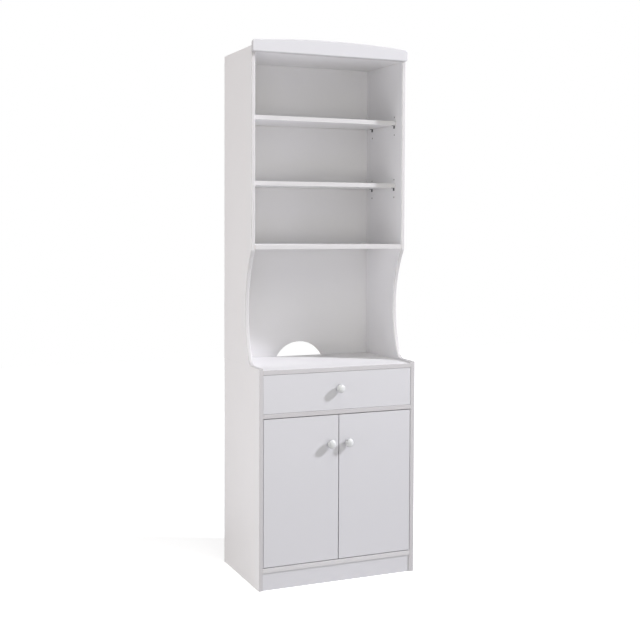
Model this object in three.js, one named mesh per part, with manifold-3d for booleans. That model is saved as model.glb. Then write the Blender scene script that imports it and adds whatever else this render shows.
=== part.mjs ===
// White tall microwave cabinet: a base unit with two inset doors and a drawer, and a hutch above it
// with a microwave bay, a fixed shelf, two adjustable shelves and an arched crown board.
// Millimetres. +X is the viewer's right, +Y runs back, +Z is up. The pieces are laid out from the
// front edges of the base sides (y = 0); the last section moves the origin under the middle.

import * as THREE from 'three';
import { ConvexGeometry } from 'three/addons/geometries/ConvexGeometry.js';
import { RoundedBoxGeometry } from 'three/addons/geometries/RoundedBoxGeometry.js';
import { mergeVertices } from 'three/addons/utils/BufferGeometryUtils.js';
import Module from 'manifold-3d';

const wasm = await Module();
wasm.setup();

// ---------- Driving dimensions ----------

// Carcass
const width = 590;
const baseDepth = 367;
const baseSideHeight = 755;
const hutchSideHeight = 1093;
const hutchDepth = 284;
const board = 15; // melamine-faced chipboard
const hardboard = 3; // backs and drawer bottom
const arris = 0.6; // small chamfer on every board edge
const backInset = 2; // backs stop short of the outer faces
const plinthHeight = 61.5;
const plinthSetback = 4;
const counterDrop = 5; // counter below the tops of the base sides
const topDrop = 7; // top panel below the tops of the hutch sides
const railHeight = 587; // underside of the rail below the drawer
const railDepth = 80;

// Hutch
const bayHeight = 406.5; // clear height of the microwave bay
const lowerShelfRise = 205.5; // fixed shelf's top to the lower adjustable shelf
const upperShelfRise = 226.5; // lower adjustable shelf to the upper one
const shelfSetback = 47; // adjustable shelves behind the hutch's front edges
const shelfSideGap = 1;
const shelfBackGap = 2;
const scoopRadius = 390; // long concave curve of the hutch sides
const scoopDepth = 63; // how far the curve cuts back
const scoopMiddle = 193; // height of its deepest point above the counter
const toeRadius = 28; // small curve that turns the scoop into the toe
const toeHeight = 3; // thin toe that runs forward on the base side
const toeTip = 2;
const sideRound = 2.8; // rounded edges of the shaped hutch sides
const sideExcess = 8; // below and behind the shaped sides, sawn off square after the rounding
const crownMiddle = 51.5; // crown board's height at its middle
const crownEnd = 39.3; // and at its ends
const crownCorner = 11; // rounded upper corners
const crownFoot = 6; // rounded lower corners
const crownRound = 3.5; // rounded edges of the crown
const crownOverlap = 1; // crown's lower edge above the top panel's underside
const cableRadius = 103; // arch cut in the back of the bay
const cableHeight = 53; // top of the arch above the counter

// Shelf pins in rows of three holes
const pinPitch = 32;
const pinFrontSetback = 58.5;
const pinRearSetback = 44.5;
const pinHoleRadius = 2.75;
const pinHoleDepth = 9;
const pinRadius = 2.4;
const pinPegLength = 8;
const pinDrop = 2.6; // peg's centre below the shelf
const pinLeaf = 1.6;
const pinLeafWidth = 10;
const pinLeafReach = 9;
const pinLeafHeight = 11;

// Doors and drawer
const frontSetback = 1; // doors and drawer front behind the side edges
const doorEndGap = 2.8; // above and below the doors
const doorSideGap = 2;
const doorMiddleGap = 2.5;
const drawerGap = 0.7;
const frontRound = 1;
const knobFromEdge = 32;
const doorKnobDrop = 98; // knob below the door's top edge
const drawerKnobRise = 8.5; // knob above the drawer front's middle
const cupboardShelfHeight = 320;
const cupboardShelfSetback = 50;
const cupboardPinSetback = 75;

// Knobs and their screws
const knobReach = 27;
const knobRadius = 16;
const knobHalf = 11; // half of the rounded head, along the screw
const knobNeck = 7.5;
const knobFoot = 10;
const knobFootRim = 1.2;
const screwRadius = 1.9;
const screwHoleRadius = 2.3;
const screwHeadRadius = 3.8;
const screwHeadHeight = 2.4;
const screwGrip = 10; // screw's length inside the knob
const knobBoreDepth = 12;

// Drawer box and roller runners
const drawerBoard = 12;
const drawerSideHeight = 90;
const drawerLength = 300;
const drawerFloorRise = 10; // bottom panel above the lower edges
const grooveDepth = 6;
const grooveGap = 0.3;
const runnerGap = 12.5; // between a base side and the drawer's side
const runnerSheet = 1.2;
const runnerFlange = 10;
const runnerLength = 305;
const runnerSetback = 2; // runners behind the drawer front
const drawerSideRise = 18; // drawer sides above the rail
const wheelRadius = 8;
const wheelWidth = 7;
const wheelGap = 0.3;
const axleRadius = 1.9;
const axleGap = 0.3;
const wheelInset = 12; // wheel's centre from the end of its runner
const wheelDrop = 0.5; // wheel's centre below the drawer side's lower edge
const axleEnd = 0.6; // riveted end of an axle past its wheel
const lipClearance = 1.2;

// Cup hinges: one pin in the cup, and a swan-neck arm screwed to the base side
const hingeFromEnd = 100;
const cupFromEdge = 22.5;
const hingePinDepth = 8.5; // pin behind the door's face
const cupRadius = 17.5;
const cupSegments = 28; // sides of the round cup and of its bore
const cupSkin = 3; // board left in front of the cup
const cupWall = 1.2;
const cupGap = 0.3;
const cupFlange = 2;
const cupFlangeRadius = 20;
const hingePinRadius = 1.8;
const knuckleRadius = 3.6;
const armSheet = 2.5;
const armWidth = 14;
const armReach = 12.5; // neck's centre line inward of the pin
const armCrank = 30; // cross part behind the pin
const armPlateLength = 46;
const armBend = 6;
const armScrewRadius = 3.4;
const armScrewHeight = 1.2;
const armScrewPlaces = [0.4, 0.85]; // along the plate

// Magnetic catch
const catchWidth = 84;
const catchHeight = 14;
const catchDepth = 26;
const strikeWidth = 26;
const strikeHeight = 11;
const strikeSheet = 1.2;
const strikeGap = 0.3;
const strikeInset = 8; // from the door's free edge
const strikeDrop = 1; // below the door's top

// ---------- Levels and places worked out from them ----------

const sideX = width / 2; // outer face
const innerX = sideX - board; // inner face
const basePanelTop = plinthHeight + board;
const counterTop = baseSideHeight - counterDrop;
const counterBottom = counterTop - board;
const railTop = railHeight + board;
const doorBottom = basePanelTop + doorEndGap;
const doorTop = railHeight - doorEndGap;
const drawerFrontBottom = railTop + drawerGap;
const drawerFrontTop = counterBottom - drawerGap;
const frontBack = frontSetback + board; // rear faces of the doors and drawer front
const hutchFront = baseDepth - hutchDepth;
const hutchTop = baseSideHeight + hutchSideHeight;
const topPanelTop = hutchTop - topDrop;
const topPanelBottom = topPanelTop - board;
const fixedShelfBottom = counterTop + bayHeight;
const fixedShelfTop = fixedShelfBottom + board;
const lowerShelfBottom = fixedShelfTop + lowerShelfRise;
const upperShelfBottom = lowerShelfBottom + upperShelfRise;
const hutchPinRows = [hutchFront + pinFrontSetback, baseDepth - pinRearSetback];
const basePinRows = [cupboardPinSetback, baseDepth - pinRearSetback];
const drawerKnobHeight = (drawerFrontBottom + drawerFrontTop) / 2 + drawerKnobRise;
const doorKnobHeight = doorTop - doorKnobDrop;
const doorKnobX = doorMiddleGap / 2 + knobFromEdge;

// ---------- Finishes ----------

const finish = (color, roughness, metalness = 0) => () =>
  new THREE.MeshStandardMaterial({ color, roughness, metalness });
const whiteBoard = finish('#e8e6e9', 0.45);
const whiteFront = finish('#eceaed', 0.4);
const whiteHardboard = finish('#e2e0e3', 0.5);
const whitePlastic = finish('#efeef0', 0.3);
const whiteSteel = finish('#dddde0', 0.4, 0.2);
const nylon = finish('#e9e9e4', 0.45);
const zincSteel = finish('#b4b6ba', 0.35, 0.9);
const nickelSteel = finish('#c3c2bf', 0.28, 0.95);
const catchPlastic = finish('#d6d3cd', 0.5);

// ---------- Ways of making solids ----------

// Turn the faces outward if the outline ran the other way.
function outward(geometry) {
  const solid = geometry.index ? geometry.toNonIndexed() : geometry;
  const p = solid.attributes.position;
  const corner = (i) => new THREE.Vector3().fromBufferAttribute(p, i);
  let volume = 0;
  for (let i = 0; i < p.count; i += 3) {
    volume += corner(i).dot(corner(i + 1).cross(corner(i + 2)));
  }
  if (volume < 0) {
    for (let i = 0; i < p.count; i += 3) {
      const second = corner(i + 1);
      const third = corner(i + 2);
      p.setXYZ(i + 1, third.x, third.y, third.z);
      p.setXYZ(i + 2, second.x, second.y, second.z);
    }
  }
  solid.computeVertexNormals();
  return solid;
}

// A solid seen in the mirror of the cabinet's middle plane.
function mirrored(geometry) {
  return outward(geometry.clone().scale(-1, 1, 1));
}

function toManifold(geometry) {
  const bare = geometry.clone();
  bare.deleteAttribute('normal');
  bare.deleteAttribute('uv');
  const merged = mergeVertices(bare, 1e-4);
  return new wasm.Manifold(new wasm.Mesh({
    numProp: 3,
    vertProperties: new Float32Array(merged.attributes.position.array),
    triVerts: new Uint32Array(merged.index.array),
  }));
}

function fromManifold(manifold) {
  const mesh = manifold.getMesh();
  const geometry = new THREE.BufferGeometry();
  geometry.setAttribute('position', new THREE.BufferAttribute(mesh.vertProperties, 3));
  geometry.setIndex(new THREE.BufferAttribute(mesh.triVerts, 1));
  return outward(geometry);
}

const cut = (body, tools) =>
  fromManifold(tools.reduce((rest, tool) => rest.subtract(toManifold(tool)), toManifold(body)));
const join = (body, others) =>
  fromManifold(others.reduce((sum, other) => sum.add(toManifold(other)), toManifold(body)));

// Box between two corners, with chamfered edges.
function block([x0, x1], [y0, y1], [z0, z1], chamfer = arris) {
  if (chamfer === 0) {
    const plain = new THREE.BoxGeometry(x1 - x0, y1 - y0, z1 - z0);
    return outward(plain.translate((x0 + x1) / 2, (y0 + y1) / 2, (z0 + z1) / 2));
  }
  const points = [];
  for (const [x, inX] of [[x0, 1], [x1, -1]]) {
    for (const [y, inY] of [[y0, 1], [y1, -1]]) {
      for (const [z, inZ] of [[z0, 1], [z1, -1]]) {
        points.push(new THREE.Vector3(x, y + inY * chamfer, z + inZ * chamfer));
        points.push(new THREE.Vector3(x + inX * chamfer, y, z + inZ * chamfer));
        points.push(new THREE.Vector3(x + inX * chamfer, y + inY * chamfer, z));
      }
    }
  }
  return outward(new ConvexGeometry(points));
}

// Box with rounded edges, for the faces that are seen and handled.
function roundedBlock([x0, x1], [y0, y1], [z0, z1], radius = frontRound) {
  const geometry = new RoundedBoxGeometry(x1 - x0, y1 - y0, z1 - z0, 2, radius);
  return outward(geometry.translate((x0 + x1) / 2, (y0 + y1) / 2, (z0 + z1) / 2));
}

// Plate cut to an outline, lying in the plane across X, Y or Z, from one coordinate to another.
const across = {
  X: new THREE.Matrix4().set(0, 0, 1, 0, 1, 0, 0, 0, 0, 1, 0, 0, 0, 0, 0, 1), // outline (y, z)
  Y: new THREE.Matrix4().set(1, 0, 0, 0, 0, 0, 1, 0, 0, 1, 0, 0, 0, 0, 0, 1), // outline (x, z)
  Z: new THREE.Matrix4(), // outline (x, y)
};
function plate(shape, axis, from, to, { edge = arris, edgeSteps = 1, curveSegments = 12 } = {}) {
  const geometry = new THREE.ExtrudeGeometry(shape, {
    depth: to - from - 2 * edge,
    bevelEnabled: edge > 0,
    bevelThickness: edge,
    bevelSize: edge,
    bevelOffset: -edge,
    bevelSegments: edgeSteps,
    curveSegments,
  });
  geometry.translate(0, 0, from + edge);
  return outward(geometry.applyMatrix4(across[axis]));
}

// Rod along X, Y or Z, centred on the other two coordinates.
function rod(axis, radius, from, to, centre, segments = 16) {
  const geometry = new THREE.CylinderGeometry(radius, radius, to - from, segments);
  geometry.translate(0, (from + to) / 2, 0);
  const [a, b] = centre;
  if (axis === 'X') geometry.rotateZ(-Math.PI / 2).translate(0, a, b);
  if (axis === 'Y') geometry.translate(a, 0, b);
  if (axis === 'Z') geometry.rotateX(Math.PI / 2).translate(a, b, 0);
  return outward(geometry);
}

// Solid of revolution about Y from [radius, y] points, which start and end on the axis.
function turned(profile, segments = 28) {
  return outward(new THREE.LatheGeometry(profile.map(([r, y]) => new THREE.Vector2(r, y)), segments));
}

// Bent strip of sheet: the centre line runs through the corners, each rounded to a bend radius.
function strip(corners, thickness, bend, bendSteps = 4) {
  const line = [];
  corners.forEach((corner, i) => {
    const here = new THREE.Vector2(...corner);
    if (i === 0 || i === corners.length - 1) {
      line.push(here);
      return;
    }
    const into = here.clone().sub(new THREE.Vector2(...corners[i - 1])).normalize();
    const out = new THREE.Vector2(...corners[i + 1]).sub(here).normalize();
    const turn = Math.atan2(into.x * out.y - into.y * out.x, into.dot(out));
    const tangent = bend * Math.tan(Math.abs(turn) / 2);
    const start = here.clone().addScaledVector(into, -tangent);
    const side = new THREE.Vector2(-into.y, into.x).multiplyScalar(Math.sign(turn));
    const centre = start.clone().addScaledVector(side, bend);
    for (let k = 0; k <= bendSteps; k += 1) {
      line.push(start.clone().rotateAround(centre, (turn * k) / bendSteps));
    }
  });
  const left = [];
  const right = [];
  line.forEach((point, i) => {
    const before = line[Math.max(i - 1, 0)];
    const after = line[Math.min(i + 1, line.length - 1)];
    const along = after.clone().sub(before).normalize();
    const normal = new THREE.Vector2(-along.y, along.x).multiplyScalar(thickness / 2);
    left.push(point.clone().add(normal));
    right.unshift(point.clone().sub(normal));
  });
  return new THREE.Shape([...left, ...right]);
}

function arc(cx, cy, radius, fromDegrees, toDegrees, steps) {
  const points = [];
  for (let k = 0; k <= steps; k += 1) {
    const angle = THREE.MathUtils.degToRad(fromDegrees + ((toDegrees - fromDegrees) * k) / steps);
    points.push([cx + radius * Math.cos(angle), cy + radius * Math.sin(angle)]);
  }
  return points;
}

const cabinet = new THREE.Group();
function add(name, geometry, material, parent = cabinet) {
  const mesh = new THREE.Mesh(geometry, material());
  mesh.name = name;
  parent.add(mesh);
  return mesh;
}
const handed = (side, leftGeometry) => (side === 'left' ? leftGeometry : mirrored(leftGeometry));

// ---------- Base carcass ----------

// Blind holes for shelf pins, in groups of three about the shelf's own height.
function pinHoles(rows, shelfUndersides) {
  const holes = [];
  for (const row of rows) {
    for (const underside of shelfUndersides) {
      for (const step of [-1, 0, 1]) {
        const height = underside - pinDrop + step * pinPitch;
        holes.push(rod('X', pinHoleRadius, -innerX - pinHoleDepth, -innerX + 1, [row, height], 10));
      }
    }
  }
  return holes;
}

const baseSide = cut(
  block([-sideX, -innerX], [0, baseDepth], [0, baseSideHeight]),
  pinHoles(basePinRows, [cupboardShelfHeight]),
);
for (const side of ['left', 'right']) {
  add(`base_side_${side}`, handed(side, baseSide), whiteBoard);
}
const between = [-innerX, innerX];
add('counter', block(between, [0, baseDepth], [counterBottom, counterTop]), whiteBoard);
add('drawer_rail', block(between, [0, railDepth], [railHeight, railTop]), whiteBoard);
add('base_panel', block(between, [0, baseDepth], [plinthHeight, basePanelTop]), whiteBoard);
add('plinth', block(between, [plinthSetback, plinthSetback + board], [0, plinthHeight]), whiteBoard);
add('base_back', block(
  [-sideX + backInset, sideX - backInset],
  [baseDepth, baseDepth + hardboard],
  [plinthHeight, counterBottom - backInset],
  0,
), whiteHardboard);
add('cupboard_shelf', block(
  [-innerX + shelfSideGap, innerX - shelfSideGap],
  [cupboardShelfSetback, baseDepth - shelfBackGap],
  [cupboardShelfHeight, cupboardShelfHeight + board],
), whiteBoard);

// ---------- Hutch ----------

// Side outline in (y, z): straight above the fixed shelf, scooped below it, then a toe that runs
// forward on the base side. The small toe curve touches both the toe and the long scoop. The lower
// and rear edges have their excess.
function hutchSideOutline() {
  const scoopY = hutchFront + scoopDepth - scoopRadius;
  const scoopZ = counterTop + scoopMiddle;
  const toeTop = baseSideHeight + toeHeight;
  const toeZ = toeTop + toeRadius;
  const toeY = scoopY + Math.sqrt((scoopRadius - toeRadius) ** 2 - (scoopZ - toeZ) ** 2);
  const meeting = Math.atan2(toeZ - scoopZ, toeY - scoopY);
  const upper = Math.acos((hutchFront - scoopY) / scoopRadius);
  const shape = new THREE.Shape();
  shape.moveTo(baseDepth + sideExcess, baseSideHeight - sideExcess);
  shape.lineTo(frontSetback, baseSideHeight - sideExcess);
  shape.lineTo(frontSetback, baseSideHeight + toeTip);
  shape.lineTo(toeY, toeTop);
  shape.absarc(toeY, toeZ, toeRadius, -Math.PI / 2, meeting, false);
  shape.absarc(scoopY, scoopZ, scoopRadius, meeting, upper, false);
  shape.lineTo(hutchFront, hutchTop);
  shape.lineTo(baseDepth + sideExcess, hutchTop);
  return shape;
}
const sawn = [-sideX - 1, -innerX + 1];
const hutchSide = cut(
  plate(hutchSideOutline(), 'X', -sideX, -innerX, {
    edge: sideRound,
    edgeSteps: 3,
    curveSegments: 10,
  }),
  [
    ...pinHoles(hutchPinRows, [lowerShelfBottom, upperShelfBottom]),
    block(sawn, [-1, baseDepth + sideExcess + 1], [baseSideHeight - sideExcess - 1, baseSideHeight], 0),
    block(sawn, [baseDepth, baseDepth + sideExcess + 1], [baseSideHeight - 1, hutchTop + 1], 0),
  ],
);
for (const side of ['left', 'right']) {
  add(`hutch_side_${side}`, handed(side, hutchSide), whiteBoard);
}
add('top_panel', block(between, [hutchFront, baseDepth], [topPanelBottom, topPanelTop]), whiteBoard);
add('fixed_shelf', block(
  between,
  [hutchFront, baseDepth],
  [fixedShelfBottom, fixedShelfTop],
), whiteBoard);
for (const [name, underside] of [['lower', lowerShelfBottom], ['upper', upperShelfBottom]]) {
  add(`shelf_${name}`, block(
    [-innerX + shelfSideGap, innerX - shelfSideGap],
    [hutchFront + shelfSetback, baseDepth - shelfBackGap],
    [underside, underside + board],
  ), whiteBoard);
}

// Back of the hutch, nailed over the carcass, with the arch for the cable.
const archZ = counterTop + cableHeight - cableRadius;
add('hutch_back', cut(
  block(
    [-sideX + backInset, sideX - backInset],
    [baseDepth, baseDepth + hardboard],
    [counterBottom, topPanelTop],
    0,
  ),
  [rod('Y', cableRadius, baseDepth - 1, baseDepth + hardboard + 1, [0, archZ], 64)],
), whiteHardboard);

// Crown board: an arched top with rounded corners, fixed to the front of the hutch.
function crownOutline() {
  const bottom = topPanelBottom + crownOverlap;
  const rise = crownMiddle - crownEnd;
  const radius = (sideX ** 2 + rise ** 2) / (2 * rise);
  const centreZ = bottom + crownMiddle - radius;
  const cornerX = sideX - crownCorner;
  const cornerZ = centreZ + Math.sqrt((radius - crownCorner) ** 2 - cornerX ** 2);
  const meeting = Math.atan2(cornerZ - centreZ, cornerX);
  const shape = new THREE.Shape();
  const footX = sideX - crownFoot;
  const footZ = bottom + crownFoot;
  shape.absarc(-footX, footZ, crownFoot, Math.PI, 1.5 * Math.PI, false);
  shape.absarc(footX, footZ, crownFoot, -Math.PI / 2, 0, false);
  shape.absarc(cornerX, cornerZ, crownCorner, 0, meeting, false);
  shape.absarc(0, centreZ, radius, meeting, Math.PI - meeting, false);
  shape.absarc(-cornerX, cornerZ, crownCorner, Math.PI - meeting, Math.PI, false);
  return shape;
}
add('crown_board', plate(crownOutline(), 'Y', hutchFront - board, hutchFront, {
  edge: crownRound,
  edgeSteps: 3,
  curveSegments: 5,
}), whiteFront);

// ---------- Shelf pins ----------

// L-shaped steel pin for a left-hand side: a peg, a leaf against the side and a leaf under the shelf.
function shelfPin(row, underside) {
  const wide = [row - pinLeafWidth / 2, row + pinLeafWidth / 2];
  const upright = block(
    [-innerX, -innerX + pinLeaf], wide, [underside - pinLeafHeight, underside], 0);
  const rest = block(
    [-innerX, -innerX + pinLeafReach], wide, [underside - pinLeaf, underside], 0);
  const peg = rod(
    'X', pinRadius, -innerX - pinPegLength, -innerX + pinLeaf / 2, [row, underside - pinDrop], 12);
  return join(upright, [rest, peg]);
}
for (const [shelf, rows, underside] of [
  ['cupboard', basePinRows, cupboardShelfHeight],
  ['lower', hutchPinRows, lowerShelfBottom],
  ['upper', hutchPinRows, upperShelfBottom],
]) {
  for (const side of ['left', 'right']) {
    for (const [i, end] of ['front', 'rear'].entries()) {
      add(`${shelf}_pin_${side}_${end}`, handed(side, shelfPin(rows[i], underside)), zincSteel);
    }
  }
}

// ---------- Knobs and their screws ----------

// Knob with a rounded head, turned about Y, standing forward of a face at y = 0, with a bore for its
// screw. The head starts where it is as wide as the neck.
function knob() {
  const headMiddle = knobReach - knobHalf;
  const headStart = THREE.MathUtils.radToDeg(Math.acos(knobNeck / knobRadius));
  return turned([
    [0, -knobBoreDepth],
    [screwHoleRadius, -knobBoreDepth],
    [screwHoleRadius, 0],
    [knobFoot, 0],
    [knobFoot, -knobFootRim],
    [(knobFoot + knobNeck * 2) / 3, -knobFootRim * 2],
    [knobNeck, -knobFootRim * 3],
    ...arc(0, 0, 1, headStart, -90, 9).map(([r, y]) => [knobRadius * r, knobHalf * y - headMiddle]),
  ]);
}
// Pan-head screw from behind the face.
function knobScrew() {
  const head = turned([
    [0, board],
    [screwHeadRadius, board],
    [screwHeadRadius, board + screwHeadHeight * 0.5],
    [screwHeadRadius * 0.7, board + screwHeadHeight],
    [0, board + screwHeadHeight],
  ], 16);
  return join(head, [rod('Y', screwRadius, -screwGrip, board + 0.5, [0, 0], 12)]);
}
const knobHole = (x, z) => rod('Y', screwHoleRadius, -1, frontBack + 1, [x, z], 16);
function addKnob(name, x, z, parent) {
  add(`${name}_knob`, knob().translate(x, frontSetback, z), whitePlastic, parent);
  add(`${name}_knob_screw`, knobScrew().translate(x, frontSetback, z), zincSteel, parent);
}

// ---------- Drawer ----------

const drawer = new THREE.Group();
cabinet.add(drawer);
const drawerOuterX = innerX - runnerGap;
const drawerInnerX = drawerOuterX - drawerBoard;
const drawerBottomEdge = railTop + drawerSideRise;
const drawerTopEdge = drawerBottomEdge + drawerSideHeight;
const drawerBackY = frontBack + drawerLength;
const floorBottom = drawerBottomEdge + drawerFloorRise;
const grooveRange = [floorBottom - grooveGap / 2, floorBottom + hardboard + grooveGap / 2];
const grooveX = drawerInnerX + grooveDepth;

add('drawer_front', cut(
  roundedBlock(
    [-innerX + drawerGap, innerX - drawerGap],
    [frontSetback, frontBack],
    [drawerFrontBottom, drawerFrontTop],
  ),
  [
    block([-grooveX, grooveX], [frontBack - grooveDepth, frontBack + 1], grooveRange, 0),
    knobHole(0, drawerKnobHeight),
  ],
), whiteFront, drawer);
const drawerSide = cut(
  block(
    [-drawerOuterX, -drawerInnerX],
    [frontBack, drawerBackY],
    [drawerBottomEdge, drawerTopEdge],
  ),
  [block([-grooveX, -drawerInnerX + 1], [frontBack - 1, drawerBackY + 1], grooveRange, 0)],
);
for (const side of ['left', 'right']) {
  add(`drawer_side_${side}`, handed(side, drawerSide), whiteBoard, drawer);
}
add('drawer_back', block(
  [-drawerInnerX, drawerInnerX],
  [drawerBackY - drawerBoard, drawerBackY],
  [floorBottom + hardboard + grooveGap / 2, drawerTopEdge],
), whiteBoard, drawer);
add('drawer_floor', block(
  [-grooveX + grooveGap, grooveX - grooveGap],
  [frontBack - grooveDepth + grooveGap, drawerBackY],
  [floorBottom, floorBottom + hardboard],
  0,
), whiteHardboard, drawer);
addKnob('drawer', 0, drawerKnobHeight, drawer);

// Roller runners. The drawer's rail hooks under its side and carries the rear wheel; the cabinet's
// rail is a channel for that wheel and carries the front wheel, which the drawer's lip runs on.
const runnerFront = frontBack + runnerSetback;
const runnerRear = runnerFront + runnerLength;
const drawerRailRear = drawerBackY;
const webX = runnerGap - runnerSheet; // drawer rail's web, from the base side
const wheelZ = drawerBottomEdge - wheelDrop; // both wheels turn at one height
const channelFloor = wheelZ - wheelRadius - wheelGap;
const lipBottom = wheelZ + wheelRadius + wheelGap;
const channelTop = lipBottom + runnerSheet + lipClearance;
const wheelX = (runnerFlange - wheelWidth) / 2 + runnerSheet / 2;
const frontWheelY = runnerFront + wheelInset;
const rearWheelY = drawerRailRear - wheelInset;
const fromSide = (distance) => -innerX + distance; // left-hand x at a distance from the base side

function channelShape() {
  const half = runnerSheet / 2;
  return strip([
    [fromSide(runnerFlange), channelTop + half],
    [fromSide(half), channelTop + half],
    [fromSide(half), channelFloor - half],
    [fromSide(runnerFlange), channelFloor - half],
  ], runnerSheet, 1, 3);
}
function drawerRailShape() {
  const half = runnerSheet / 2;
  return strip([
    [fromSide(wheelX), lipBottom + half],
    [fromSide(webX + half), lipBottom + half],
    [fromSide(webX + half), drawerBottomEdge - half],
    [-drawerInnerX, drawerBottomEdge - half],
  ], runnerSheet, 1, 3);
}
const plain = { edge: 0 };
const cabinetRail = join(
  plate(channelShape(), 'Y', runnerFront, runnerRear, plain),
  [
    rod('X', axleRadius, fromSide(runnerSheet / 2), fromSide(wheelX + wheelWidth + axleEnd),
      [frontWheelY, wheelZ]),
  ],
);
const drawerRail = join(
  plate(drawerRailShape(), 'Y', runnerFront, drawerRailRear, plain),
  [
    rod('X', axleRadius, fromSide(wheelX - axleEnd), fromSide(webX + runnerSheet / 2),
      [rearWheelY, wheelZ]),
  ],
);
// Nylon wheel about X, with a small crown to its tread.
function runnerWheel(y) {
  const bore = axleRadius + axleGap;
  const crown = 0.4;
  const geometry = new THREE.LatheGeometry([
    new THREE.Vector2(bore, 0),
    new THREE.Vector2(wheelRadius - crown, 0),
    new THREE.Vector2(wheelRadius, crown * 2),
    new THREE.Vector2(wheelRadius, wheelWidth - crown * 2),
    new THREE.Vector2(wheelRadius - crown, wheelWidth),
    new THREE.Vector2(bore, wheelWidth),
    new THREE.Vector2(bore, 0),
  ], 20);
  return outward(geometry.rotateZ(-Math.PI / 2).translate(fromSide(wheelX), y, wheelZ));
}
for (const side of ['left', 'right']) {
  add(`runner_rail_${side}`, handed(side, cabinetRail), whiteSteel);
  add(`runner_wheel_${side}_front`, handed(side, runnerWheel(frontWheelY)), nylon);
  add(`drawer_rail_${side}`, handed(side, drawerRail), whiteSteel, drawer);
  add(`runner_wheel_${side}_rear`, handed(side, runnerWheel(rearWheelY)), nylon, drawer);
}

// ---------- Doors, hinges and catch ----------

const doorOuterX = innerX - doorSideGap;
const pinX = -doorOuterX + cupFromEdge;
const pinY = frontSetback + hingePinDepth;
const cupFloor = frontSetback + cupSkin;
const hingeHeights = { lower: doorBottom + hingeFromEnd, upper: doorTop - hingeFromEnd };

// Door for the left-hand side, with its cup bores and knob hole.
function doorLeaf() {
  const leaf = roundedBlock(
    [-doorOuterX, -doorMiddleGap / 2],
    [frontSetback, frontBack],
    [doorBottom, doorTop],
  );
  const bores = Object.values(hingeHeights).map((height) => rod(
    'Y', cupRadius + cupGap, cupFloor - cupGap, frontBack + 1, [pinX, height], cupSegments));
  return cut(leaf, [...bores, knobHole(-doorKnobX, doorKnobHeight)]);
}

// Steel cup pressed into the door, with its flange on the door's back and the pin across it.
function hingeCup(height) {
  const disc = (radius, from, to) => rod('Y', radius, from, to, [pinX, height], cupSegments);
  const shell = disc(cupRadius, cupFloor, frontBack + cupFlange / 2);
  const flange = disc(cupFlangeRadius, frontBack, frontBack + cupFlange);
  const hollow = disc(cupRadius - cupWall, cupFloor + cupWall, frontBack + cupFlange + 1);
  const pin = rod(
    'Z', hingePinRadius, height - cupRadius + cupWall / 2, height + cupRadius - cupWall / 2,
    [pinX, pinY], 12);
  return join(cut(join(shell, [flange]), [hollow]), [pin]);
}

// Swan-neck arm: a knuckle on the cup's pin, a neck out of the cup, a cross part and a plate on the
// base side with its two screw heads.
function hingeArm(height) {
  const plateX = fromSide(armSheet / 2);
  const crossY = pinY + armCrank;
  const neck = plate(strip([
    [pinX + knuckleRadius * 0.75, pinY],
    [pinX + armReach, pinY],
    [pinX + armReach, crossY],
    [plateX, crossY],
    [plateX, crossY + armPlateLength],
  ], armSheet, armBend), 'Z', height - armWidth / 2, height + armWidth / 2, plain);
  const knuckle = rod(
    'Z', knuckleRadius, height - armWidth / 2, height + armWidth / 2, [pinX, pinY], 18);
  const bore = rod(
    'Z', hingePinRadius + axleGap, height - armWidth, height + armWidth, [pinX, pinY], 14);
  const heads = armScrewPlaces.map((share) => rod(
    'X', armScrewRadius, fromSide(armSheet / 2), fromSide(armSheet + armScrewHeight),
    [crossY + armPlateLength * share, height], 12));
  return cut(join(neck, [knuckle, ...heads]), [bore]);
}

// Thin steel strike on the back of a door, facing the catch.
const strikeEdge = -doorMiddleGap / 2 - strikeInset;
const strike = block(
  [strikeEdge - strikeWidth, strikeEdge],
  [frontBack, frontBack + strikeSheet],
  [doorTop - strikeDrop - strikeHeight, doorTop - strikeDrop],
  0,
);
for (const side of ['left', 'right']) {
  const door = new THREE.Group();
  cabinet.add(door);
  add(`door_${side}`, handed(side, doorLeaf()), whiteFront, door);
  addKnob(`door_${side}`, side === 'left' ? -doorKnobX : doorKnobX, doorKnobHeight, door);
  add(`strike_${side}`, handed(side, strike), zincSteel, door);
  for (const [place, height] of Object.entries(hingeHeights)) {
    add(`hinge_cup_${side}_${place}`, handed(side, hingeCup(height)), nickelSteel, door);
    add(`hinge_arm_${side}_${place}`, handed(side, hingeArm(height)), nickelSteel);
  }
}

// Double magnetic catch under the drawer rail: a plastic body that the two strikes close against.
const catchFront = frontBack + strikeSheet + strikeGap;
add('door_catch', block(
  [-catchWidth / 2, catchWidth / 2],
  [catchFront, catchFront + catchDepth],
  [railHeight - catchHeight, railHeight],
  1,
), catchPlastic);

// ---------- Origin: on the floor, under the middle of the whole outline ----------

const frontMost = frontSetback - knobReach;
const rearMost = baseDepth + hardboard;
cabinet.position.y = -(frontMost + rearMost) / 2;

export default cabinet;
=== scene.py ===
import math

import bmesh
import bpy
from mathutils import Matrix, Vector


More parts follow.
